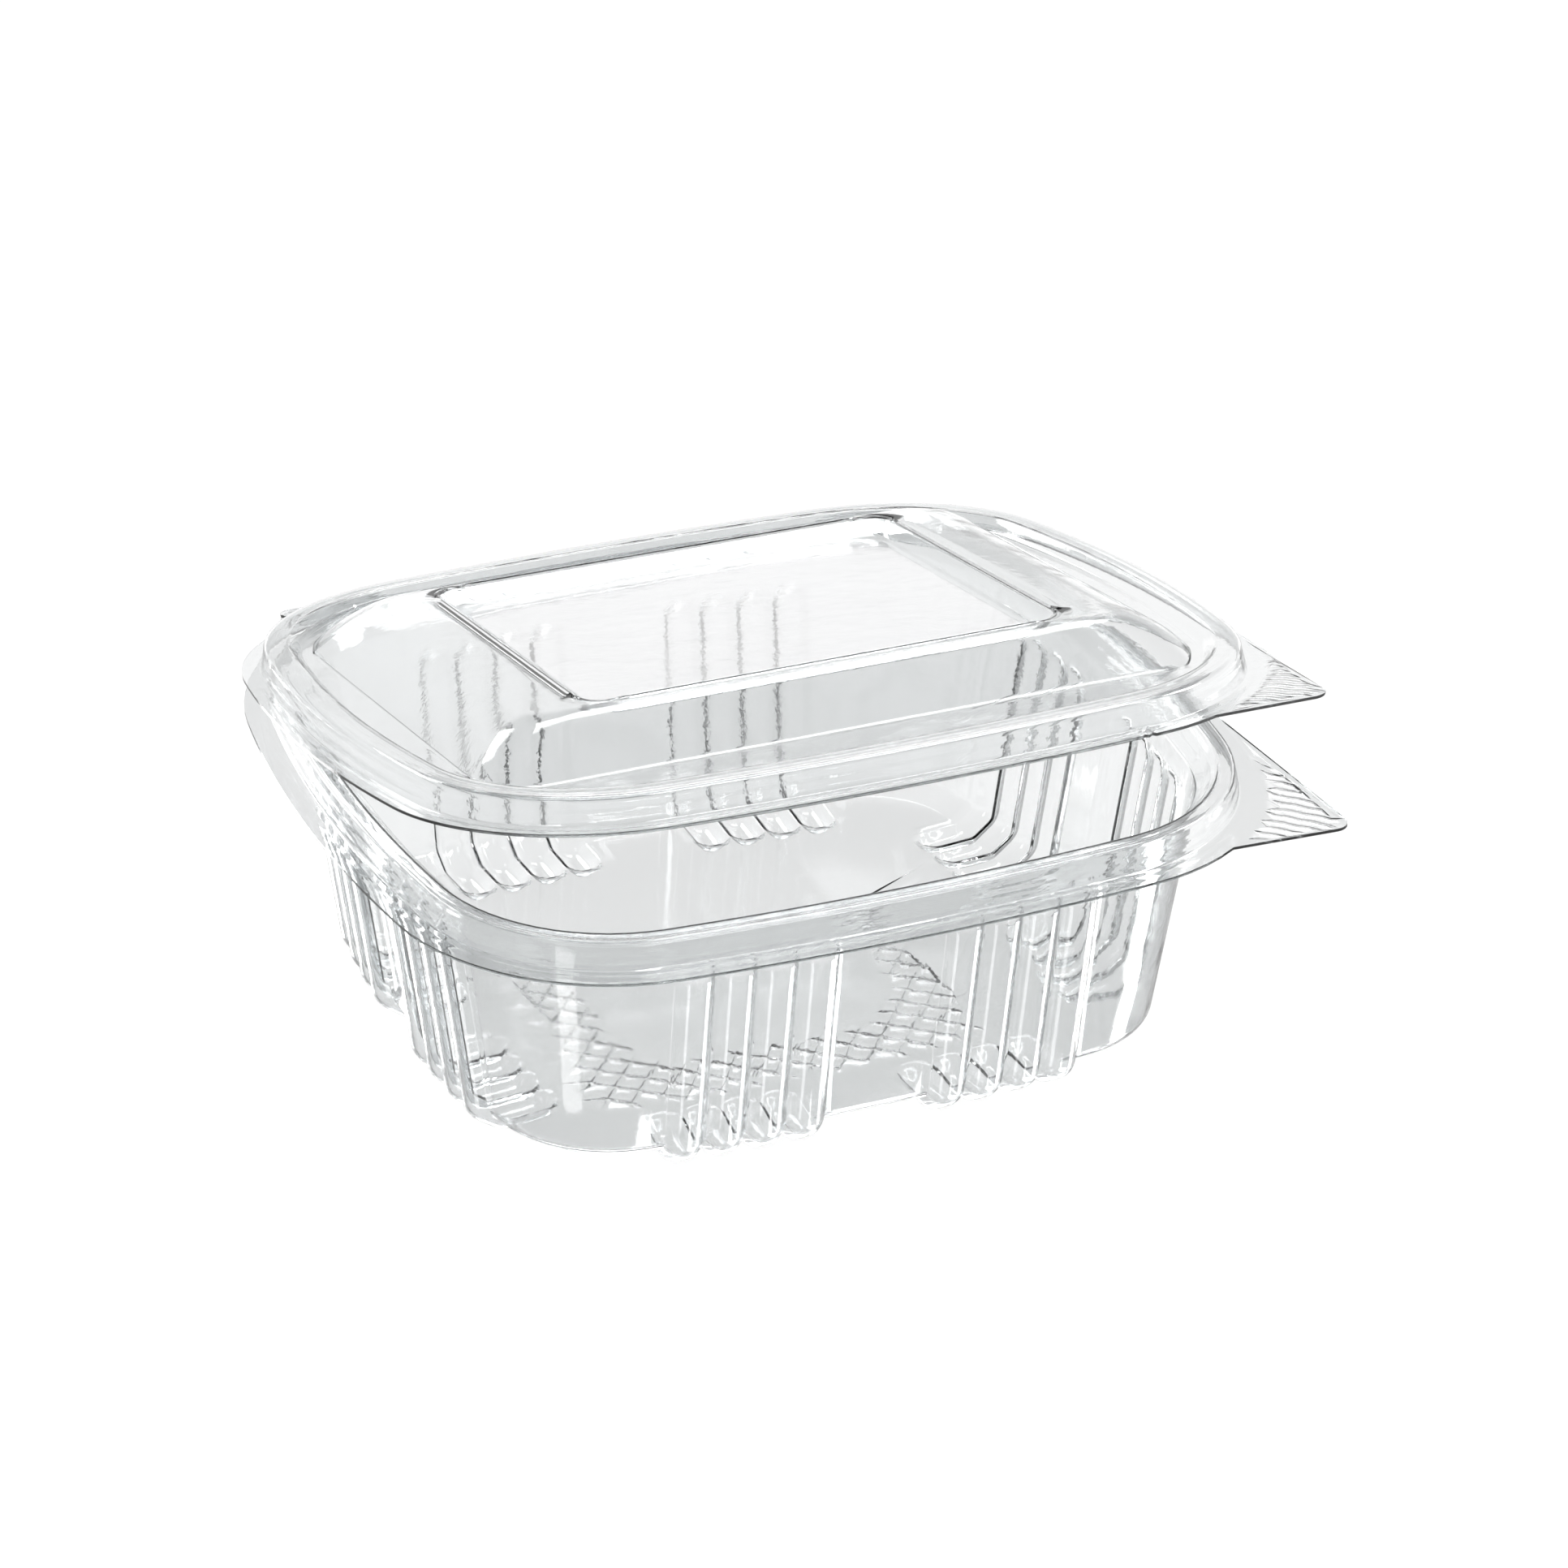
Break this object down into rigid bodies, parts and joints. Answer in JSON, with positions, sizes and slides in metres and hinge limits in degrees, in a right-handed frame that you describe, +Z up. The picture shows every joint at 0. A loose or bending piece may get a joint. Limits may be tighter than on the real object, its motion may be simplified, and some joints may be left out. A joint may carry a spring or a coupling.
{
  "type": "hinged food container",
  "caption": "Clear one-sheet food pack: ribbed tray with feet and a hinged lid with a sunk top panel, snap rims and corner tabs.",
  "frame": {"origin": "on the surface that the pack stands on, under the middle of the tray", "axes": "X along the long side, Y from the front to the fold, Z up"},
  "size_m": [0.1414, 0.1298, 0.0685],
  "materials": {
    "clear_sheet": "gloss"
  },
  "bodies": {
    "tray": {"tray": "clear_sheet"},
    "lid": {"lid": "clear_sheet"}
  },
  "joints": [
    {"name": "lid_fold", "type": "hinge", "parent": "tray", "child": "lid", "pos_m": [0, 0.066, 0.0416], "axis": [-1, 0, 0], "range_deg": [-10, 165], "stiffness_Nm_per_rad": 0.02, "springref_deg": 13.46}
  ]
}
